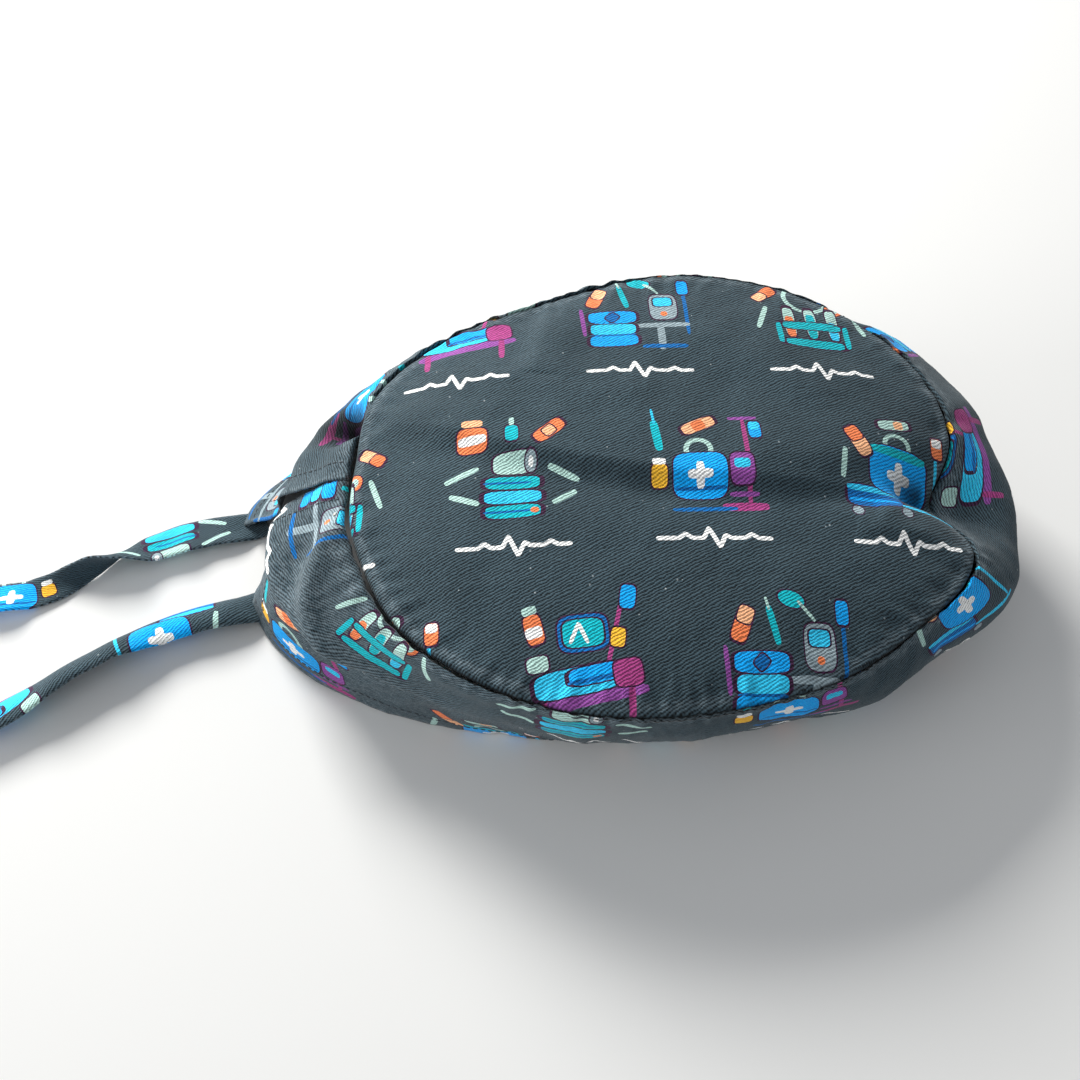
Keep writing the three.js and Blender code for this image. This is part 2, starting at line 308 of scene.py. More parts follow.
# angle, seam radius, seam height, bulge radius, height, waist radius, height, hem radius
SECTIONS = np.array([
    (0, 121, 57, 141, 38, 134, 16, 122), (12, 109, 52, 144, 40, 138, 16, 126),
    (24, 123, 60, 147, 43, 140, 17, 127), (40, 127, 64, 145, 49, 138, 18, 126),
    (60, 121, 68, 130, 50, 126, 18, 116), (90, 111, 70, 117, 50, 113, 18, 104),
    (120, 103, 69, 110, 48, 109, 18, 103), (145, 113, 65, 124, 44, 127, 16, 127),
    (165, 121, 61, 142, 43, 148, 17, 158), (178, 117, 59, 142, 41, 156, 16, 174),
    (192, 115, 58, 145, 40, 152, 16, 165), (203, 111, 58, 139, 40, 138, 16, 149),
    (215, 107, 58, 122, 40, 119, 16, 126), (231, 99, 60, 105, 41, 99, 16, 99),
    (250, 91, 60, 94, 43, 86, 16, 80), (275, 85, 60, 86, 44, 77, 16, 70),
    (300, 86, 60, 88, 44, 79, 16, 72), (320, 94, 60, 99, 44, 90, 16, 82),
    (340, 105, 59, 116, 43, 107, 16, 97)], float)
SEAM_R, SEAM_Z, BULGE_R, BULGE_Z, WAIST_R, WAIST_Z, HEM_R = range(1, 8)


def section(column, degrees):
    """One column of the table at any angle, as a closed smooth curve."""
    turn = np.asarray(degrees, float) % 360
    row = np.searchsorted(SECTIONS[:, 0], turn, side="right") - 1
    near = row[..., None] + np.arange(-1, 3)
    count = len(SECTIONS)
    return through(turn, SECTIONS[near % count, 0] + 360 * (near // count),
                   SECTIONS[near % count, column])


print("the seam is", round(float(section(SEAM_R, 90) + section(SEAM_R, 270))), "mm across")

# %% [markdown]
# ## The band
# The band is one long panel. Its upper edge is gathered a little to the crown's seam, its
# middle bulges, and its lower edge is turned up on the inside and stitched. At the back
# the two ends stay open, and lie nearly edge to edge. The smooth shape comes first, from
# the table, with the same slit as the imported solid. Folds are then laid over it.

# %% The band's smooth shape
# fractions down: a stop above the seam, the seam, bulge, waist, hem and a stop below it
STOPS = np.array([-0.33, 0, 0.33, 0.68, 1, 1.32])
SEAM_ROLL = 1.3         # how fast the band turns out of the seam
SLIT_SHUT = 0.24        # the ends stay edge to edge down to this fraction
SLIT_AT_SEAM = (182.7, 542.6)   # angles of the two ends at the seam
SLIT_OPENS = (10.3, -2.6)       # and how far they have turned at the hem


def slit_angles(down):
    """Angles of the two ends of the band at a fraction down from the seam."""
    opening = fade(down, SLIT_SHUT, 1)
    return [angle + opens * opening for angle, opens in zip(SLIT_AT_SEAM, SLIT_OPENS)]


def band_base(across, down):
    """Points of the smooth band, and their angles. across runs from end to end."""
    start, end = slit_angles(down)
    degrees = start + across * (end - start)
    at = [section(column, degrees) for column in range(8)]
    seam_r = at[SEAM_R] + SEAM_GAP / 2

    def with_stops(seam, bulge, waist, hem):
        return np.stack([seam - SEAM_ROLL * (bulge - seam), seam, bulge, waist, hem,
                         2 * hem - waist], -1)

    leg = (down >= STOPS[2]).astype(int) + (down >= STOPS[3]).astype(int)
    near = leg[..., None] + np.arange(4)
    radius = through(down, STOPS[near], np.take_along_axis(
        with_stops(seam_r, at[BULGE_R], at[WAIST_R], at[HEM_R]), near, -1))
    height = through(down, STOPS[near], np.take_along_axis(
        with_stops(at[SEAM_Z], at[BULGE_Z], at[WAIST_Z], 0 * at[SEAM_Z]), near, -1))
    turn = np.radians(degrees)
    points = np.stack([CROWN_MIDDLE[0] + radius * np.cos(turn),
                       CROWN_MIDDLE[1] + radius * np.sin(turn), height], -1)
    return points, degrees % 360


demo, _ = band_base(np.array([0.5]), np.array([0.33]))
print("the bulge at the forehead is", round(float(demo[0, 2])), "mm above the table")

# %% [markdown]
# ## Folds of the band
# Cloth that has been worn and washed is never even. The band puffs up beside the seam,
# most at the back where it is slack, and shows small puckers at the stitches. Long soft
# folds run down to the hem. A sculpt brush could draw these, or a cloth simulation could
# find its own, but the folds of this cap are known, so each has a row in a table, and
# noise adds the small unevenness between them. All of them move the cloth along its own
# outward direction.

# %% Tables of the band's folds
# angle, height in millimetres that the band puffs up beside the seam
SEAM_PUFF = [(0, 0.4), (20, 0.4), (60, 0.5), (95, 0.8), (110, 3.0), (122, 2.4), (135, 0.8),
             (155, 1.2), (175, 2.0), (186, 2.6), (200, 3.0), (225, 2.6), (250, 0.9), (280, 0.4),
             (320, 0.3), (340, 0.4), (360, 0.4)]

# angle, half-width, fraction down, half-width, height, lean in degrees for each unit down
BAND_FOLDS = [
    (203, 3.2, 0.22, 0.22, 4.4, 50), (196, 3.4, 0.24, 0.18, -3.0, 40),
    (206, 22, 0.37, 0.055, 3.8, 0), (206, 24, 0.52, 0.10, -5.0, 0),
    (188, 3.0, 0.45, 0.30, 1.2, 4), (169.5, 3.6, 0.12, 0.11, -16.0, 0),
    (200, 8, 0.80, 0.30, 4.5, 0), (193, 6, 0.62, 0.25, 3.5, 0),
    (175, 3.0, 0.30, 0.30, 2.4, 5), (164, 4.0, 0.40, 0.40, -2.0, 4),
    (150, 6.0, 0.50, 0.40, 1.4, 0), (232, 6.0, 0.55, 0.40, 1.4, -4),
    (247, 6.0, 0.60, 0.30, -1.2, 0), (262, 7.0, 0.50, 0.30, 1.0, 3),
    (288, 8.0, 0.60, 0.30, 1.0, -3), (312, 7.0, 0.45, 0.30, -1.2, 4),
    (328, 6.0, 0.55, 0.36, 1.6, 6), (344, 5.0, 0.40, 0.30, -1.4, 6),
    (357, 4.5, 0.40, 0.34, 1.6, 4), (11, 4.0, 0.10, 0.12, -3.0, 2),
    (14, 8.0, 0.50, 0.30, 2.6, 0), (30, 4.0, 0.40, 0.30, 1.4, 0),
    (38, 4.0, 0.45, 0.30, -1.4, -3), (54, 4.0, 0.05, 0.05, -4.0, 0),
    (50, 5.0, 0.40, 0.36, 1.6, -3), (70, 8.0, 0.55, 0.30, 1.0, 0),
    (100, 8.0, 0.55, 0.30, -1.0, 0), (125, 7.0, 0.55, 0.30, 1.2, 3),
]
FAR_END_LIFT = 2.6      # the far end of the band stands over the slit
NEAR_END_DROP = 2.2     # and the near end sinks under it
WAVE_DEPTH = 60         # a round depth of the band, to measure its waves by
HEM_HOLDS = 0.75        # share of every fold that the stitched hem flattens


def turn_between(a, b):
    """Signed degrees from b to a, the short way round."""
    return (a - b + 180) % 360 - 180


def band_lift(degrees, across, down):
    """How far the cloth stands out from the smooth band, in millimetres."""
    puff = np.interp(degrees, *np.array(SEAM_PUFF).T)
    lift = puff * bump(down, 0.075, 0.075)
    for angle, wide, middle, tall, height, lean in BAND_FOLDS:
        side = turn_between(degrees, angle + lean * (down - middle))
        lift += height * bump(side, 0, wide) * bump(down, middle, tall)
    start, end = slit_angles(down)
    from_start, from_end = across * (end - start), (1 - across) * (end - start)
    lift += FAR_END_LIFT * bump(down, 0.42, 0.34) * bump(from_end, 0, 5)
    lift -= NEAR_END_DROP * bump(down, 0.55, 0.30) * bump(from_start, 0, 4)
    lift *= 1 - HEM_HOLDS * bump(down, 1, 0.12)
    # broad waves, then finer ones that lean, then puckers at the stitches and a fine grain
    deep = down * WAVE_DEPTH
    lift += 0.9 * wrinkle(degrees, deep, 9, 34, 3.0) * fade(down, 0.02, 0.3)
    lift += 0.7 * wrinkle(degrees + down * 25, deep, 4.5, 17, 8.0) * fade(down, 0.03, 0.2)
    puckers = wrinkle(degrees, deep, 2.6, 12, 12.0) * bump(down, 0.04, 0.09)
    return lift + 1.3 * puckers + 0.28 * wrinkle(degrees, deep, 2.2, 5, 21.0)


print(len(BAND_FOLDS), "folds on the band")

# %% [markdown]
# The upper edge dives into the groove of the seam, and the lower edge goes round a narrow
# fold and back up inside, as a real turned-up hem does. Both are extra rows of the same
# grid, so there is no join to hide. The sheet has no thickness yet. A Solidify modifier
# gives it the thickness of twill later, on its inner side.

# %% Build the band's sheet
BAND_COLUMNS = 560
BAND_ROWS = 60
SEAM_ROWS = 16          # of them close together beside the seam
SEAM_SHARE = 0.10       # and the fraction of the depth that they take
GROOVE = 2.2            # depth of the seam groove
GROOVE_POWER = 1.3      # how sharply the cloth turns down into it
HEM_DEPTH = 10          # turned-up hem
HEM_ROWS = 9
HEM_CLEAR = 0.3         # clear space between the fold and the table
PLY_GAP = 1.5           # from the outer ply to the turned-up ply
PLY_RISE = 0.3          # the turned-up ply stays this far above the fold
TWILL_THICK = 0.6
TIE_ROOM = 2.3          # how far the hem rises over the root of a tie
TIE_REACH = 12          # and how far round the root it does so
CROWN_BASE = 60         # usual height of the seam above the table


def outward(points):
    """Unit direction out of a grid whose rows run down and columns run along."""
    down = np.gradient(points, axis=0)
    along = np.gradient(points, axis=1)
    return unit(np.cross(down, along))


rows = np.concatenate([np.linspace(0, SEAM_SHARE, SEAM_ROWS + 1)[:-1],
                       np.linspace(SEAM_SHARE, 1, BAND_ROWS - SEAM_ROWS + 1)])
across, down = np.meshgrid(np.linspace(0, 1, BAND_COLUMNS + 1), rows)
band_points, band_degrees = band_base(across, down)
band_normal = outward(band_points)
depth = np.linalg.norm(np.diff(band_points, axis=0), axis=-1).sum(axis=0)
band_points += band_normal * band_lift(band_degrees, across, down)[..., None]
band_points[..., 2] -= GROOVE * (1 - fade(down, 0, 0.014)) ** GROOVE_POWER
# the hem is set on the table and the seam keeps its height
lowest = HEM_CLEAR + TWILL_THICK / 2
z = band_points[..., 2]
above_hem = fade(down, 1.12, 0.9)
band_points[..., 2] = lowest + z * (1 - lowest / CROWN_BASE) * above_hem + z * (1 - above_hem)
for root_x, root_y in TIE_ROOTS.values():
    near_tie = (bump(band_points[..., 0], root_x, TIE_REACH)
                * bump(band_points[..., 1], root_y, TIE_REACH))
    band_points[..., 2] += TIE_ROOM * near_tie * fade(down, 0.75, 1)
band_points[..., 2] = np.maximum(band_points[..., 2], lowest)

hem_up = np.linspace(0, 1, HEM_ROWS)[1:, None] * HEM_DEPTH
hem_down = 1 - hem_up / depth[None, :]
row_place = np.interp(hem_down, rows, np.arange(len(rows)))
low_row = np.floor(row_place).astype(int)
share = (row_place - low_row)[..., None]
high_row = np.minimum(low_row + 1, len(rows) - 1)
columns_at = np.broadcast_to(np.arange(BAND_COLUMNS + 1), low_row.shape)
cloth_normal = outward(band_points)
inner = band_points - PLY_GAP * cloth_normal
hem_points = inner[low_row, columns_at] * (1 - share) + inner[high_row, columns_at] * share
hem_points[..., 2] = np.maximum(hem_points[..., 2], lowest + PLY_RISE)
band_sheet = np.vstack([band_points, hem_points])
print("the band is", round(float(depth.mean())), "mm deep on average")

# %% [markdown]
# The flat place of each point is measured, not guessed: the length along the bulge for
# one direction, and the depth below the seam for the other. Worn cloth has stretched a
# little along the band and drawn up in depth, so a factor for each direction eases the
# print in the same way.

# %% Measure the band's flat cloth and make its mesh
BAND_PRINT_PLACE = (209.5, 4.5)
BAND_EASE = (0.9, 1.25)     # the cloth is stretched a little along, and drawn up in depth
BULGE_DOWN = 0.25           # the length is measured at this fraction down
bulge_row = int(np.argmin(np.abs(rows - BULGE_DOWN)))
flat_along = length_along(band_points[bulge_row])
flat_down = -np.vstack([np.outer(rows, depth), depth + hem_up])
band_flat = np.stack(np.broadcast_arrays(flat_along, flat_down), -1)
band_flat = band_flat * BAND_EASE + BAND_PRINT_PLACE
# pale beside the seam and along the hem from rubbing; at the back corner, rubbed where a
# hand takes hold, and also painted light for the light that falls there from the left
wear_and_painted_light = 0.9 * bump(down, 0.045, 0.03) + 0.9 * bump(down, 1, 0.02)
wear_and_painted_light += 0.8 * bump(turn_between(band_degrees, 204), 0, 24) * fade(down, 0.02, 0.2)
# painted shade, dark in the deep notch beside the seam
wear_and_painted_light -= 1.2 * bump(turn_between(band_degrees, 168.5), 0, 5) * bump(down, 0.16, 0.22)
wear_and_painted_light = np.vstack([wear_and_painted_light, np.zeros((HEM_ROWS - 1, BAND_COLUMNS + 1))])
wear_and_painted_light[:, :2] = wear_and_painted_light[:, -2:] = EDGE_WEAR
band = cloth_object("band_cloth", band_sheet.reshape(-1, 3), band_flat.reshape(-1, 2),
                    grid_faces(len(band_sheet), BAND_COLUMNS + 1), wear_and_painted_light.ravel())
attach(band, "root")
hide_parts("band")
print("the band is", round(float(flat_along[-1])), "mm long along its bulge")

# %% [markdown]
# ## The crown
# The crown is an oval of a single layer, domed by the air under it. One long soft crease
# crosses it from the back to the forehead, where it ends in a sharp tuck at the seam. The
# oval could be a disc with rings and spokes, but spokes crowd together in the middle and
# pinch the shading. A square of even cells drawn out to the oval has no such crowding.

# %% Tables of the crown's creases and dents
CROWN_CELLS = 200
CROWN_RISE = 16         # height of the dome over the seam
RIM_CROWDING = 1.18     # above 1, cells are narrower near the rim
# from x, y to x, y about the oval's middle, bow, height, width above, drop, dip, width below
CREASES = [
    (-117, 24, 100, 22, -16, 3.4, 30, 6.0, 3.2, 26),
    (82, 5, 119, 8, 6, 3.6, 7, 5, 0.6, 10),
    (74, -4, 118, -6, 5, 2.0, 8, 5, 1.4, 9),
    (-50, 106, -52, 44, 0, 3.0, 14, 7, 1.6, 18),
    (-100, -20, -60, -62, 6, 1.2, 10, 9, 0.8, 14),
    (30, 96, 52, 48, 3, 1.0, 12, 10, 0.8, 14),
]
# x, y, half-widths and depth
DENTS = [(101, 20.5, 9, 3.6, 13), (-30, -48, 45, 26, 3), (109, 9, 9, 7, -3.0),
         (60, -50, 30, 14, 1.2), (-116, 21, 6, 7, 4)]


def crease_height(crease, x, y):
    """Height of one crease: a soft ridge with a steeper fall on its near side."""
    x1, y1, x2, y2, bow, height, above, drop, dip, below = crease
    run = math.hypot(x2 - x1, y2 - y1)
    along = ((x - x1) * (x2 - x1) + (y - y1) * (y2 - y1)) / run**2
    side = ((y - y1) * (x2 - x1) - (x - x1) * (y2 - y1)) / run
    swing = np.sin(np.clip(along, 0, 1) * math.pi)
    side = side - bow * swing
    fall = bump(side, 0, drop)
    far = height * bump(side, 0, above)
    near = height * fall - dip * (1 - fall) * bump(side, 0, below)
    return np.sqrt(swing) * np.where(side >= 0, far, near)


print(len(CREASES), "creases and", len(DENTS), "dents on the crown")

# %% [markdown]
# The rim of the oval meets the seam of the band, turn for turn. Just inside the seam the
# stitches pull the cloth into small puckers, and then the edge rolls down into the groove
# beside the band's own edge. That groove is what draws the dark line round a sewn crown.

# %% Build the crown's sheet
cells = np.linspace(-1, 1, CROWN_CELLS + 1)
a, b = np.meshgrid(cells, cells, indexing="ij")
out = np.maximum(np.abs(a), np.abs(b))
safe = np.where(out == 0, 1, out)
# round the square, each half side is an eighth of a turn
turn = np.select([a == out, b == out, a == -out],
                 [b / safe / 8, 0.25 - a / safe / 8, 0.5 - b / safe / 8], 0.75 + a / safe / 8)
degrees = 360 * (turn % 1)
out = 1 - (1 - out) ** RIM_CROWDING
radius = out * (section(SEAM_R, degrees) - SEAM_GAP / 2)
x, y = radius * np.cos(np.radians(degrees)), radius * np.sin(np.radians(degrees))
edge = (1 - out) * section(SEAM_R, degrees)     # millimetres in from the seam
height = (CROWN_BASE + (section(SEAM_Z, degrees) - CROWN_BASE) * out**2
          + CROWN_RISE * (1 - out**3))
folds = sum(crease_height(crease, x, y) for crease in CREASES)
folds -= sum(deep * bump(x, at_x, wide) * bump(y, at_y, high)
             for at_x, at_y, wide, high, deep in DENTS)
height += folds * (1 - out**8)
# broad waves, smaller ones, a fine grain, and the puckers inside the seam
height += 1.5 * wrinkle(x + 0.4 * y, y, 46, 30, 2.0) * fade(edge, 0, 25)
height += 0.55 * wrinkle(x, y, 15, 12, 5.0) * fade(edge, 1, 14)
height += 0.16 * wrinkle(x, y, 4.5, 4.5, 9.0)
height += 1.5 * wrinkle(degrees, edge, 2.8, 13, 14.0) * bump(edge, 5, 6)
height -= GROOVE * (1 - fade(edge, 0, 1.0)) ** GROOVE_POWER
crown_points = np.stack([CROWN_MIDDLE[0] + x, CROWN_MIDDLE[1] + y, height], -1)
print("the crown rises to", round(float(height.max())), "mm above the table")

# %% [markdown]
# The crown was cut with its threads turned a little from the table's edges, so its flat
# places are turned by that angle. Solidify thickens the crown and the band alike. Drawing
# an inner face by hand would do the same, but it would have to be redrawn with each fold.

# %% Make the crown's mesh
GRAIN_TURN = math.radians(10.5)     # from the table's x axis to the cloth's length
CROWN_PRINT_PLACE = (-19.3, -10.7)
flat_u = x * math.cos(GRAIN_TURN) + y * math.sin(GRAIN_TURN)
flat_v = -x * math.sin(GRAIN_TURN) + y * math.cos(GRAIN_TURN)
crown_flat = np.stack([flat_u, flat_v], -1) + CROWN_PRINT_PLACE
# rubbed pale just inside the seam, and painted shade in the tuck at the forehead
wear_and_painted_light = 0.8 * bump(edge, 3.0, 1.6) - bump(x, 100.5, 10) * bump(y, 23.8, 4.4)
crown = cloth_object("crown_cloth", crown_points.reshape(-1, 3), crown_flat.reshape(-1, 2),
                     grid_faces(CROWN_CELLS + 1, CROWN_CELLS + 1), wear_and_painted_light.ravel())
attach(crown, "root")
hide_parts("crown")
for sheet in (crown, band):
    twill = sheet.modifiers.new("twill thickness", "SOLIDIFY")
    twill.thickness = TWILL_THICK * MM
    twill.offset = -1                   # all of it on the inner side
    twill.material_offset = 1           # where the second material is used
    twill.material_offset_rim = 0
print("faces:", len(crown.data.polygons), "crown,", len(band.data.polygons), "band")

# %% [markdown]
# ## The print
# The cloth carries a small repeat of clinic things: folded scrubs, a drip stand, a
# first-aid case, a monitor, a trolley and test tubes, with a pulse line under each. An image
# texture would be the quick way. Here each motif is stamped from discs, blocks and rings by
# shader nodes instead, so it stays sharp at any distance and needs no file. Each stamp moves
# the flat place of the cloth into its own middle, measures how far out a point is, and lays
# its ink over what was there before, with a thin dark edge.

# %% Ink colours and motifs


def linear(red, green, blue):
    """A colour mixed on screen from 0 to 255, as the light value that shaders need."""
    return tuple((v / 255 / 12.92 if v <= 10 else ((v / 255 + 0.055) / 1.055) ** 2.4)
                 for v in (red, green, blue)) + (1.0,)


INKS = {ink: linear(*mixed) for ink, mixed in {
    "teal": (0, 184, 198), "blue": (0, 168, 250), "deep": (0, 104, 176), "sky": (50, 204, 248),
    "mint": (176, 212, 204), "grey": (146, 164, 172), "orange": (245, 132, 82),
    "peach": (254, 188, 142), "yellow": (254, 194, 58), "purple": (146, 76, 158),
    "plum": (168, 64, 130), "white": (248, 249, 248), "line": (58, 26, 58)}.items()}

# x, y, half-width, half-height in millimetres, tilt in degrees if any, ink; x and y are
# from the motif's middle, and a stamp is a block unless the row says disc or ring
MOTIFS = {
    "drip stand, kit bag, syringe, plaster and bottle": """
        15 -2 0.9 19 plum; 15 17 5.5 0.8 purple; 19 11 2.8 5 blue; 19 13 1.9 2 sky;
        12.5 -6 5 6.5 purple; 12.5 -4.5 3 2 sky; 13 -20 8.5 1.7 plum; 13 -15 5.5 0.9 purple;
        ring -3 2 5.5 5.5 mint; -3 -8 10.5 9 blue; -3 -12.5 9.5 0.7 deep; -3 -8 4.6 1.5 white;
        -3 -8 1.5 4.6 white; -2 13.5 8 3 24 peach; -2 13.5 2.6 2.3 24 orange;
        -18 9 1.6 7 6 teal; -18.8 18 0.5 3.5 6 sky; -18 -8 3.4 4.4 yellow; -18 -3 2.5 1.5 white;
        -2 -21 12 0.9 2 deep""",
    "first-aid case on a trolley, drip and capsules": """
        -9 -13 12 5 deep; -9 -10 11 1.2 sky; -9 -14.5 10 0.7 blue; disc -17 -20 2.6 2.6 grey;
        disc 2 -20 2.6 2.6 grey; 20 -1 0.7 17 sky; 21 12 3 4.6 orange; 21 14 2.2 1.7 white;
        ring 3 9 6 5 mint; 3 -1 13 9.5 -4 blue; 3 6 12 1.6 -4 teal; 3 -2 5 1.7 -4 white;
        3 -2 1.7 5 -4 white; -13 9 3.6 7.5 28 peach; -14.4 12 3.4 3.8 28 orange;
        -20 -1 1.1 6 -10 mint; 3 18 8 2.6 6 mint; 5 18.2 2 1.8 6 peach; 12 -18 11 1 -10 sky""",
    "bed, monitor, drip and lamp": """
        12 4 0.8 20 -14 plum; 18 20 3.2 5 -8 blue; 4 -14 20 2 8 purple; -12 -19 1.2 5 plum;
        18 -16 1.2 6 plum; 0 -8 17 5 8 sky; 6 -6 11 3.4 8 blue; 6 -7.6 10 0.7 8 deep;
        2 8 9.5 7 4 deep; 2 8 7.8 5.4 4 teal; -1 8 0.7 4 -24 white; 2 8 0.7 4 24 white;
        -14 -2 4.4 3.2 8 mint; -15 10 3.6 6 14 orange; -15 9 3 2 14 white;
        -16.6 16.6 2.6 1.5 14 mint; 14 6 3 4 -8 yellow; 17 -6 5.5 5 8 plum""",
    "folded scrubs, monitor trolley, drip and lamp": """
        21 2 0.8 17 deep; 21 14 2.8 5 blue; 11 -9 11 1.3 grey; 10 -16 1.5 7 grey;
        11 -21 9 1.1 deep; 12 2 6 8.5 grey; 12 5 4.4 3.4 sky; disc 12 -2.5 1.4 1.4 orange;
        disc 3 18 5.5 3.4 -20 teal; 8 14 4.5 0.6 -50 mint; -9 -17 11 3.6 blue;
        -9 -10.5 10.5 3.6 sky; -9 -3.5 11 4 blue; -9 -3.5 3 2.6 45 deep; -9 -13.8 9 0.5 deep;
        -15 9 3.4 7 -22 orange; -13.6 12.4 3.2 3.6 -22 peach; -4 9 1.2 7 12 teal;
        -5.6 16.6 0.5 2.4 12 mint; -21 -6 0.9 8 4 purple""",
    "test tubes in a rack, stethoscope and capsules": """
        ring 0 9 10 9 mint; disc 11 3 4 4 orange; disc 11 3 2 2 mint; -9 -6 2.8 10 mint;
        0 -6 2.8 10 mint; 9 -6 2.8 10 mint; -9 -9 1.9 6 orange; 0 -8 1.9 7 teal;
        9 -10 1.9 5 sky; 0 -8 15 2.6 teal; 0 -18 15 2.6 teal; -14 -13 1.2 6 teal;
        14 -13 1.2 6 teal; -17 11 6.5 3.2 40 orange; -19.4 9 3.2 3 40 peach;
        18 13 6.5 3.2 -35 peach; 20.2 11.4 3.2 3 -35 orange; -20 -4 1.1 7 -20 mint;
        20 -4 1.1 7 20 mint""",
    "folded towels, a roll of gauze, bottles, swabs and a jar": """
        -19 -2 7 1.2 24 mint; 19 -4 6.5 1.2 -30 mint; -18 -13 6 1.2 -22 mint;
        19 -14 5 1.2 28 mint; -15 12 6.4 5 orange; -15 12 5.4 1.6 white; -15 18.6 4 1.6 peach;
        14 13 7.5 3.4 38 orange; 14 13 2.8 2.6 38 peach; 0 1.5 8 4.6 mint;
        disc 7 1.5 2.6 4.6 grey; disc 7 1.5 1 1.8 white; 0 -6.5 12 3.2 teal;
        0 -12.8 12.5 3.2 sky; 0 -19 12 3.2 teal; -2 -6.5 9 0.5 deep; -2 -19 9 0.5 deep;
        disc 8 -19 1.6 1.2 orange; 0 13 3 4.4 teal; 0 18.6 1 1.8 mint""",
}


def read_motif(text):
    """The stamps of a motif: shape, x, y, half-width, half-height, tilt and ink."""
    stamps = []
    for words in (row.split() for row in text.split(";")):
        shape = words.pop(0) if words[0] in ("disc", "ring") else "block"
        *sizes, ink = words
        sizes = [float(size) for size in sizes] + [0.0]
        stamps.append((shape, *sizes[:5], ink))
    return stamps


motifs = [read_motif(text) for text in MOTIFS.values()]
print(sum(len(motif) for motif in motifs), "stamps in", len(motifs), "motifs")

# %% [markdown]
# Shader nodes are usually drawn by hand in the Shader editor. This cloth needs hundreds of
# them, so they are added by code. The helpers below let a chain of nodes be read as a sum.

# %% Helpers for shader nodes


class Nodes:
    """A node tree that is written as short sums."""

    def __init__(self, tree):
        self.tree = tree

    def fill(self, inputs, values):
        """Gives each input its value, or a link if the value is another node's socket."""
        for name, value in values.items():
            if isinstance(value, bpy.types.NodeSocket):
                self.tree.links.new(value, inputs[name])
            elif value is not None:
                inputs[name].default_value = value

    def add(self, kind, inputs, **settings):
        """Adds a node, fills its inputs and gives back its outputs."""
        node = self.tree.nodes.new("ShaderNode" + kind)
        for name, value in settings.items():
            setattr(node, name, value)
        self.fill(node.inputs, inputs)
        return node.outputs

    def maths(self, operation, first, second=None, third=None):
        return self.add("Math", {0: first, 1: second, 2: third}, operation=operation)[0]

    def vector(self, operation, first, second=None):
        outputs = self.add("VectorMath", {0: first, 1: second}, operation=operation)
        return outputs["Value" if operation == "DOT_PRODUCT" else "Vector"]

    def mix(self, share, first, second):
        return self.add("Mix", {0: share, 6: first, 7: second}, data_type="RGBA")[2]

    def noise(self, place, scale, detail, roughness=0.5):
        return self.add("TexNoise", {"Vector": place, "Scale": scale, "Detail": detail,
                                     "Roughness": roughness})[0]

    def spread(self, value, low, high, new_low, new_high):
        """A value from low to high, drawn out to run from new_low to new_high."""
        return self.add("MapRange", {0: value, 1: low, 2: high, 3: new_low, 4: new_high})[0]


def node_group(name, inputs, outputs):
    """A new group, its node helper, the sockets it is given and the sockets it gives."""
    group = bpy.data.node_groups.new(name, "ShaderNodeTree")
    for way, sockets in (("INPUT", inputs), ("OUTPUT", outputs)):
        for socket, kind in sockets.items():
            group.interface.new_socket(socket, in_out=way, socket_type="NodeSocket" + kind)
    return (group, Nodes(group), group.nodes.new("NodeGroupInput").outputs,
            group.nodes.new("NodeGroupOutput").inputs)


def new_material(name):
    """A new material, its node helper and the inputs of its surface."""
    material = bpy.data.materials.new(name)
    material.use_nodes = True
    tree = material.node_tree
    return material, Nodes(tree), tree.nodes["Principled BSDF"].inputs


print("node helpers ready")

# %% [markdown]
# A stamp asks how far out a point is, counted in its own half-widths, so its outline is
# always at 1. Squares of the two sides add up to a disc, and fourth powers to a block with
# soft corners. A node group holds that once for each shape, and each stamp only gives it
# new numbers.

# %% Make one node group for each shape of stamp
INK_EDGE = 0.5          # width in millimetres of the thin dark edge
EDGED_FROM = 2.4        # narrower stamps than this have no edge
RING_WIDTH = 1.9


def shape_group(shape, edged):
    """A group that lays one disc, block or ring over the colour under it."""
    group, nodes, given, gives = node_group(
        "ink " + shape + (" edged" if edged else ""),
        {"Place": "Vector", "Under": "Color", "Middle": "Vector", "Across": "Vector",
         "Upward": "Vector", "Ink": "Color", "Core": "Float"}, {"Colour": "Color"})
    middle = nodes.vector("SUBTRACT", given["Place"], given["Middle"])
    sides = [nodes.vector("DOT_PRODUCT", middle, given[name]) for name in ("Across", "Upward")]
    if shape == "block":
        sides = [nodes.maths("MULTIPLY", side, side) for side in sides]
    reach = nodes.maths("MULTIPLY_ADD", sides[0], sides[0],
                        nodes.maths("MULTIPLY", sides[1], sides[1]))
    mask = nodes.maths("LESS_THAN", reach, 1.0)
    colour = given["Ink"]
    if shape == "ring":
        mask = nodes.maths("SUBTRACT", mask, nodes.maths("LESS_THAN", reach, given["Core"]))
    elif edged:
        colour = nodes.mix(nodes.maths("LESS_THAN", reach, given["Core"]), INKS["line"], colour)
    nodes.fill(gives, {"Colour": nodes.mix(mask, given["Under"], colour)})
    return group


SHAPES = {(shape, edged): shape_group(shape, edged)
          for shape, edged in (("disc", False), ("disc", True), ("block", False),
                               ("block", True), ("ring", False))}


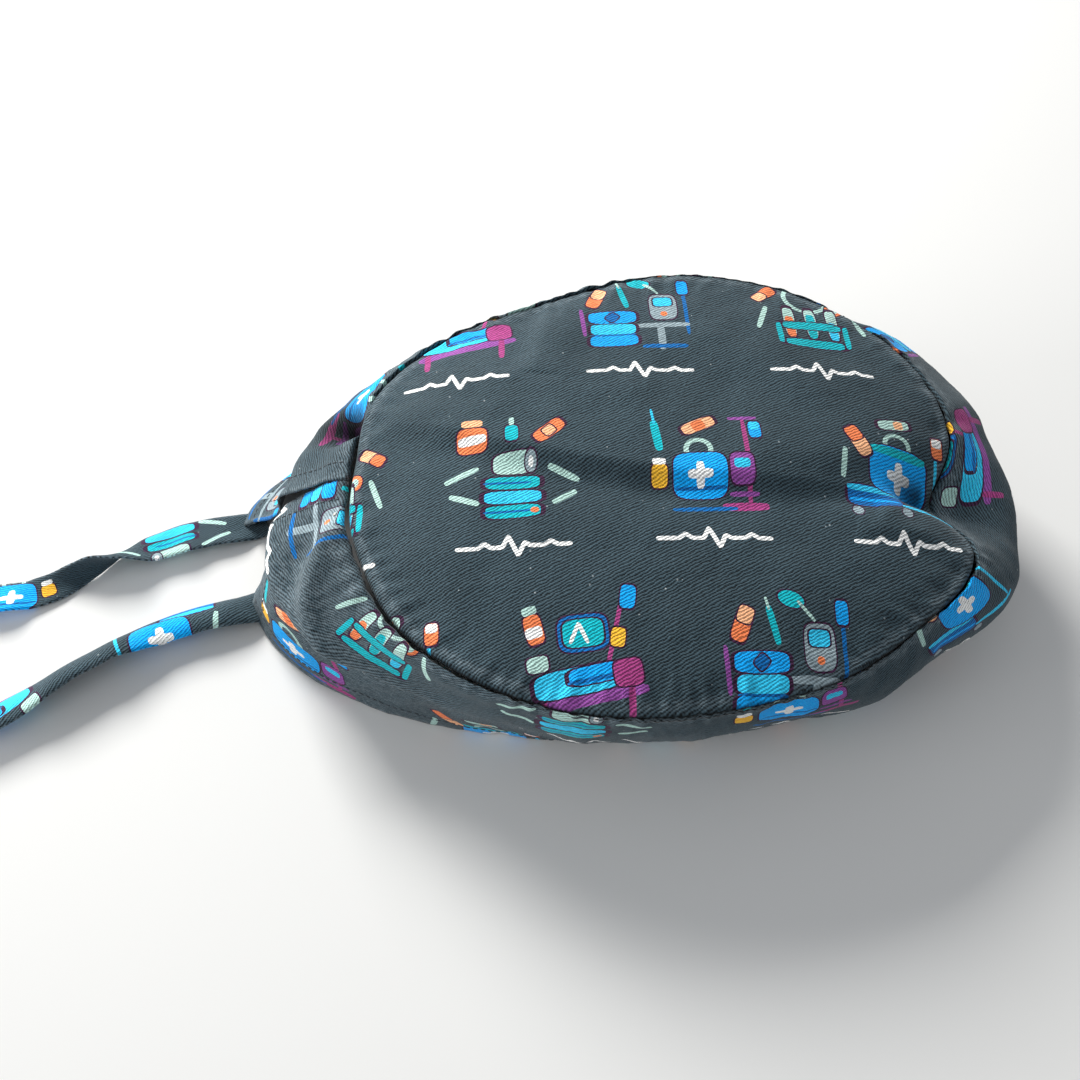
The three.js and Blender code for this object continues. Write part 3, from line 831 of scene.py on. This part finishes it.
def stamp(nodes, place, under, row):
    """Lays one row of a motif over the colour under it, and returns the new colour."""
    shape, x, y, wide, high, tilt, ink = row
    narrow = min(wide, high)
    edged = shape != "ring" and narrow > EDGED_FROM and ink != "white"
    if shape == "ring":
        core = (1 - RING_WIDTH / wide) ** 2
    else:
        core = (1 - INK_EDGE / narrow) ** (4 if shape == "block" else 2)
    c, s = math.cos(math.radians(tilt)), math.sin(math.radians(tilt))
    return nodes.add("Group", {
        "Place": place, "Under": under, "Middle": (x * MM, y * MM, 0),
        "Across": (c / wide / MM, s / wide / MM, 1),
        "Upward": (-s / high / MM, c / high / MM, 1),
        "Ink": INKS[ink], "Core": core}, node_tree=SHAPES[shape, edged])[0]


print("a stamp's dark edge is", INK_EDGE, "mm wide")

# %% [markdown]
# A node group keeps the whole print in one place, so the crown, the band and the ties can
# share it. Inside, the cloth is first divided into the cells of the repeat. Each row of
# cells steps a little to the left, and every other row starts half-way through the list
# of motifs. A motif that isn't wanted in a cell is pushed far away instead of being
# switched off, which costs one node and not a mix for each.

# %% Build the print's node group
REPEAT_WIDE = 72        # millimetres from one motif to the next along a row
REPEAT_HIGH = 75
ROW_STEP = 21.5         # each row starts this much further to the left
PULSE = [(-20.5, 0), (-13, 0), (-10.5, 1.8), (-8, 0), (-4, 0), (-1.8, 4.2), (1.6, -3.6),
         (4, 1.2), (6.2, 0), (11, 0), (13.5, 1.6), (16, 0), (20.5, 0)]
PULSE_DOWN = -33.5      # place of the pulse line under the middle of its motif
PULSE_STROKE = 0.85
PULSE_JOIN = 0.6        # how far each of its bars runs on into the next

print_group, nodes, given, gives = node_group(
    "clinic print", {"Cloth": "Vector", "Ground": "Color"}, {"Colour": "Color"})
split = nodes.add("SeparateXYZ", {0: given["Cloth"]})
row = nodes.maths("FLOOR", nodes.maths("MULTIPLY_ADD", split[1], 1000 / REPEAT_HIGH, 0.5))
shifted = nodes.maths("MULTIPLY_ADD", row, ROW_STEP * MM, split[0])
column = nodes.maths("FLOOR", nodes.maths("MULTIPLY_ADD", shifted, 1000 / REPEAT_WIDE, 0.5))
local_x = nodes.maths("MULTIPLY_ADD", column, -REPEAT_WIDE * MM, shifted)
local_y = nodes.maths("MULTIPLY_ADD", row, -REPEAT_HIGH * MM, split[1])
place = nodes.add("CombineXYZ", {0: local_x, 1: local_y})[0]
half_share = 0.5 / len(motifs)
in_list = nodes.maths("MULTIPLY_ADD", row, len(motifs) / 2, column)
which = nodes.maths("FRACT", nodes.maths("MULTIPLY_ADD", in_list, 1 / len(motifs), half_share))
colour = given["Ground"]
for number, motif in enumerate(motifs):
    wanted = nodes.maths("COMPARE", which, (number + 0.5) / len(motifs), half_share)
    here = nodes.vector("ADD", place, nodes.maths("SUBTRACT", 1.0, wanted))
    for shape_row in motif:
        colour = stamp(nodes, here, colour, shape_row)
for (x1, y1), (x2, y2) in zip(PULSE, PULSE[1:]):
    run, rise = x2 - x1, y2 - y1
    colour = stamp(nodes, place, colour, (
        "block", (x1 + x2) / 2, PULSE_DOWN + (y1 + y2) / 2,
        math.hypot(run, rise) / 2 + PULSE_JOIN, PULSE_STROKE,
        math.degrees(math.atan2(rise, run)), "white"))
nodes.fill(gives, {"Colour": colour})
print(len(print_group.nodes), "nodes in the print")

# %% [markdown]
# ## Twill
# Twill is woven so that each thread passes over two and under one, one step further along
# in each row, and that leaves fine diagonal ridges a millimetre apart. A wave across the
# ridges makes them, a second wave along them breaks them into single threads, and noise
# makes some threads thicker. One group gives both the height for the bump and a painted
# shade for the colour: the ridges are painted light, as if catching light, and the valleys
# painted dark, as if in shade.

# %% Build the twill's node group
TWILL_TURN = 26.8       # degrees from the cloth's length to its ridges
TWILL_PITCH = 1.12      # millimetres from ridge to ridge
TWILL_WANDER = 1.3      # how far the ridges stray from straight
THREAD_PITCH = 0.95     # and from thread to thread along a ridge
THREAD_SLANT = 0.62     # how far the threads lean across the ridges
THREAD_SHARE = 0.28     # share of the height that single threads make, and not ridges
THREAD_UNEVEN = 1.1     # how much the threads differ in thickness
# painted shade in the valleys and painted light on the ridges
TWILL_SHADE = (0.04, 2.08)      # brightness in the valleys and on the ridges

twill_group, nodes, given, gives = node_group(
    "twill weave", {"Cloth": "Vector"}, {"Height": "Float", "Shade": "Float"})
turned = nodes.add("Mapping", {"Vector": given["Cloth"], "Scale": (1000, 1000, 1000),
                               "Rotation": (0, 0, math.radians(-TWILL_TURN))})[0]
wander = nodes.noise(turned, 0.35, 1.0)
split = nodes.add("SeparateXYZ", {0: turned})
across_ridges = nodes.maths("MULTIPLY_ADD", wander, TWILL_WANDER, split[1])
ridge = nodes.maths("SINE", nodes.maths("MULTIPLY", across_ridges, 2 * math.pi / TWILL_PITCH))
slanted = nodes.maths("MULTIPLY_ADD", split[1], THREAD_SLANT, split[0])
thread = nodes.maths("SINE", nodes.maths("MULTIPLY", slanted, 2 * math.pi / THREAD_PITCH))
uneven = nodes.noise(turned, 0.9, 3.0, 0.7)
woven = nodes.maths("MULTIPLY_ADD", thread, THREAD_SHARE,
                    nodes.maths("MULTIPLY", ridge, 1 - THREAD_SHARE))
even = nodes.maths("MULTIPLY_ADD", woven, 0.5, 0.5)
height = nodes.maths("MULTIPLY_ADD", nodes.maths("SUBTRACT", uneven, 0.5), THREAD_UNEVEN, even)
nodes.fill(gives, {"Height": height, "Shade": nodes.spread(height, 0.0, 1.0, *TWILL_SHADE)})
print("ridges", TWILL_PITCH, "mm apart, turned", TWILL_TURN, "degrees")

# %% [markdown]
# ## Finishes of the cloth
# The outer face is charcoal with the print on it. Wear lightens the cloth where it is
# rubbed, along the seam and the folded edges, and large soft clouds of tone come from
# washing. At the back corner of the band the same attribute is also painted light. Below
# zero it is painted shade, which darkens the cloth where a fold closes on itself and little
# light gets in. A few specks of lint sit on it. The reverse has no print, only the dye that
# came through, so the inside of the cap is plain, and its colour is a little darker still,
# as painted shade for the inside of the cap.

# %% Make the printed twill and its reverse
CHARCOAL = linear(54, 72, 81)
# the pale of rubbed cloth, also the colour of the painted light at the band's back corner
FADED_AND_LIT = linear(104, 118, 126)
LINT = linear(176, 186, 190)
# a little darker than the dyed reverse: painted shade for the inside of the cap
REVERSE = linear(62, 68, 72)


def cloth_material(name, printed=True, lift=1.0):
    """The finish of a cloth, with painted light and shade in its colour. A lift over 1 makes
    all of it a little lighter, as painted light.
    """
    material, nodes, surface = new_material(name)
    cloth = nodes.add("UVMap", {}, uv_map="cloth")[0]
    weave = nodes.add("Group", {"Cloth": cloth}, node_tree=twill_group)
    clouds = nodes.spread(nodes.noise(cloth, 26.0, 3.0), 0.3, 0.7, 0.88 * lift, 1.12 * lift)
    wear_and_painted_light = nodes.add("Attribute", {}, attribute_name="wear_and_painted_light")["Fac"]
    patchy = nodes.spread(nodes.noise(cloth, 420.0, 3.0), 0.35, 0.65, 0.1, 0.9)
    # rubbed pale, and painted light at the band's back corner
    wear_and_light = nodes.maths("MULTIPLY", wear_and_painted_light, patchy)
    base = nodes.mix(wear_and_light, CHARCOAL if printed else REVERSE, FADED_AND_LIT)
    if printed:
        base = nodes.add("Group", {"Cloth": cloth, "Ground": base}, node_tree=print_group)[0]
    # the ridges' painted light and shade show less where the colour is bright, as ink fills
    # the weave
    brightness = nodes.vector("DOT_PRODUCT", base, (0.33, 0.33, 0.33))
    filled = nodes.spread(brightness, 0.08, 0.24, 0.0, 0.4)
    ridges = nodes.maths("MULTIPLY_ADD", nodes.maths("SUBTRACT", 1.05, weave["Shade"]), filled,
                         weave["Shade"])
    # painted shade: below zero the attribute darkens the cloth in closed folds
    painted_fold_shade = nodes.maths("MULTIPLY_ADD", nodes.maths("MINIMUM", wear_and_painted_light, 0.0), 0.85, 1.0)
    shade = nodes.maths("MULTIPLY", nodes.maths("MULTIPLY", ridges, painted_fold_shade), clouds)
    shaded = nodes.add("VectorMath", {0: base, "Scale": shade}, operation="SCALE")["Vector"]
    # lint: small dots, left only where a coarse noise is high
    dots = nodes.add("TexVoronoi", {"Vector": cloth, "Scale": 210.0})["Distance"]
    rare = nodes.maths("GREATER_THAN", nodes.noise(cloth, 130.0, 0.0), 0.6)
    speck = nodes.maths("MULTIPLY", nodes.maths("LESS_THAN", dots, 0.075), rare)
    nodes.fill(surface, {
        "Base Color": nodes.mix(nodes.maths("MULTIPLY", speck, 0.7), shaded, LINT),
        "Roughness": nodes.spread(weave["Height"], 0.0, 1.0, 0.95, 0.8),
        "Specular IOR Level": 0.25, "Sheen Weight": 0.12, "Sheen Roughness": 0.5,
        "Normal": nodes.add("Bump", {"Height": weave["Height"], "Distance": 0.00022,
                                     "Strength": 0.9})[0]})
    return material


printed_twill = cloth_material("printed twill")
band_twill = cloth_material("printed band twill")
# the ties' twill is lifted a little lighter: painted light, for the light from the left
tie_twill = cloth_material("printed tie twill", lift=1.1)
reverse_twill = cloth_material("reverse of twill", printed=False)
for sheet, outer_twill in ((crown, printed_twill), (band, band_twill)):
    sheet.data.materials.append(outer_twill)
    sheet.data.materials.append(reverse_twill)
for tie in ties.values():
    tie.data.materials.append(tie_twill)
print("materials:", ", ".join(m.name for m in bpy.data.materials))

# %% [markdown]
# ## Stitches
# The hem is held by a straight stitch in charcoal thread, eight millimetres above the
# fold, and each end of the band by another. A stitch is a short bead of thread that sinks
# at both ends. One bead is laid for every three millimetres of seam and they are joined
# in a single mesh, because hundreds of separate objects would only slow the scene.

# %% Make the stitches
STITCH_STEP = 3.0
STITCH_LONG = 2.1
STITCH_RADIUS = 0.27
STITCH_HEIGHT = 8       # from the fold of the hem up to its stitches
STITCH_LIFT = 0.1       # from the cloth to the middle of the thread
END_COLUMNS = 6         # columns of the band from its ends to their stitches
BEAD_SINK = 0.9         # how deep the ends of a bead dip, in its radii
BEAD_ENDS = [(0, 1, 2, 3), (0, 3, 4, 5), (29, 28, 27, 26), (29, 26, 25, 24)]


def beads(places, ahead, up, long=STITCH_LONG, radius=STITCH_RADIUS):
    """Points and faces of one bead of thread, 5 rings of 6 points, at each place."""
    rings = np.array([-1, -0.72, 0, 0.72, 1.0])[:, None]
    girth = np.array([0.35, 0.9, 1.0, 0.9, 0.35])[:, None]
    turns = np.arange(6) / 6 * 2 * math.pi
    side = np.cross(up, ahead)
    places, ahead, side, up = (v[:, None, None] for v in (places, ahead, side, up))
    body = (places + ahead * (rings * long / 2)[..., None]
            + side * (np.cos(turns) * girth * radius)[..., None]
            + up * ((np.sin(turns) * girth - (1 - girth) * BEAD_SINK) * radius)[..., None])
    one = np.vstack([grid_faces(5, 6, closed=True), BEAD_ENDS])
    return body.reshape(-1, 3), np.vstack([one + 30 * k for k in range(len(places))])


def along_line(line, normals):
    """Even places on a line of the cloth, with their directions."""
    reach = length_along(line)
    at = np.arange(STITCH_STEP, reach[-1] - STITCH_STEP, STITCH_STEP)
    places, ups = (np.stack([np.interp(at, reach, values[:, k]) for k in range(3)], -1)
                   for values in (line, normals))
    ups = unit(ups)
    ahead = unit(np.gradient(places, axis=0))
    ahead = unit(ahead - ups * (ahead * ups).sum(-1, keepdims=True))
    return places + ups * STITCH_LIFT, ahead, ups


hem_row = int(np.argmin(np.abs(rows - (1 - STITCH_HEIGHT / depth.mean()))))
runs = [along_line(band_points[hem_row], cloth_normal[hem_row])]
for end_column in (END_COLUMNS, BAND_COLUMNS - END_COLUMNS):
    runs.append(along_line(band_points[2:hem_row, end_column],
                           cloth_normal[2:hem_row, end_column]))
places, ahead, ups = (np.vstack(parts) for parts in zip(*runs))
points, faces = beads(places, ahead, ups)
stitches = cloth_object("band_stitches", points, points[:, :2], faces, np.zeros(len(points)))
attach(stitches, "root")
print(len(places), "stitches")

# %% [markdown]
# A tiny bar of white thread locks the seam at the back, where the load of the ties comes
# to the crown. Thread is a little glossier than cloth, with a fine twist along it, which a
# wave texture on the object's own coordinates draws well enough at this size.

# %% Make the bar tack and the thread finishes


def thread_material(name, colour):
    """The finish of a thread, with painted shade in the valleys of its twist."""
    material, nodes, surface = new_material(name)
    place = nodes.add("TexCoord", {})["Object"]
    twist = nodes.add("TexWave", {"Vector": place, "Scale": 900.0, "Distortion": 2.0},
                      bands_direction="DIAGONAL")["Fac"]
    # painted shade: the valleys of the twist are mixed toward this darker colour
    dark = tuple(0.55 * v for v in colour[:3]) + (1.0,)
    raised = nodes.add("Bump", {"Height": twist, "Distance": 0.00008, "Strength": 0.6})[0]
    nodes.fill(surface, {"Base Color": nodes.mix(twist, dark, colour), "Normal": raised,
                         "Roughness": 0.6})
    return material


charcoal_thread = thread_material("charcoal thread", linear(70, 80, 88))
white_thread = thread_material("white thread", linear(232, 234, 230))
stitches.data.materials.append(charcoal_thread)
TACK_ANGLE = 190.0
TACK_ROW = 6            # row of the band's grid, just under the seam
TACK_SPACING = 0.45     # between its three threads
TACK_LIFT = 0.15
TACK_LONG = 1.9
TACK_RADIUS = 0.3
tack_column = int(np.argmin(np.abs(turn_between(band_degrees[TACK_ROW], TACK_ANGLE))))
tack_place = band_points[TACK_ROW, tack_column]
tack_up = cloth_normal[TACK_ROW, tack_column]
tack_ahead = unit(band_points[TACK_ROW, tack_column + 3] - tack_place)
tack_side = np.cross(tack_up, tack_ahead)
tack_places = np.array([tack_place + tack_side * TACK_SPACING * k + tack_up * TACK_LIFT
                        for k in (-1, 0, 1)])
points, faces = beads(tack_places, np.tile(tack_ahead, (3, 1)), np.tile(tack_up, (3, 1)),
                      TACK_LONG, TACK_RADIUS)
tack = cloth_object("bar_tack", points, points[:, :2], faces, np.zeros(len(points)))
tack.data.materials.append(white_thread)
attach(tack, "root")
print("bar tack at", [round(float(v)) for v in tack_place])

# %% [markdown]
# ## Table, light and background
# The cap lies on a plain pale table. Light comes from a soft lamp behind and to the left,
# so that the far side of every fold is bright and its near side is in shade, which is what
# shows the creases in dark cloth. A second lamp stands low and far off to the left, and
# rakes the band beside the ties. A wide dim lamp in front keeps the shade open, and so does
# the even light of a pale room.

# %% Set the table and the lamps
FLOOR_HALF = 3.0
LAMP_AIM = (0, 0, 0.04)
ROOM_COLOUR = (0.93, 0.96, 1.0, 1)
ROOM_LIGHT = 0.32

floor_mesh = bpy.data.meshes.new("table_top")
floor_mesh.from_pydata([(x * FLOOR_HALF, y * FLOOR_HALF, 0)
                        for x, y in ((-1, -1), (1, -1), (1, 1), (-1, 1))], [], [(0, 1, 2, 3)])
floor = in_scene("table_top", floor_mesh)
floor_paint, nodes, surface = new_material("pale table")
nodes.fill(surface, {"Base Color": linear(244, 244, 243), "Roughness": 0.9})
floor.data.materials.append(floor_paint)


def lamp(name, place, size, power, colour):
    """A square lamp in watts, turned to the cap."""
    data = bpy.data.lights.new(name, "AREA")
    data.size = size
    data.energy = power
    data.color = colour
    facing = (Vector(LAMP_AIM) - Vector(place)).to_track_quat("-Z", "Y")
    in_scene(name, data, place).rotation_euler = facing.to_euler()


lamp("key lamp", (-0.90, 0.98, 0.84), 0.6, 33, (1.0, 0.985, 0.95))
lamp("side lamp", (-2.60, -0.95, 0.26), 1.0, 48, (1.0, 0.99, 0.97))
lamp("front lamp", (-0.5, -0.9, 1.7), 1.4, 2.5, (0.95, 0.98, 1.0))
world = bpy.data.worlds.new("pale room")
world.use_nodes = True
room = world.node_tree.nodes["Background"].inputs
room["Color"].default_value = ROOM_COLOUR
room["Strength"].default_value = ROOM_LIGHT
bpy.context.scene.world = world
bpy.context.scene.view_settings.view_transform = "Standard"
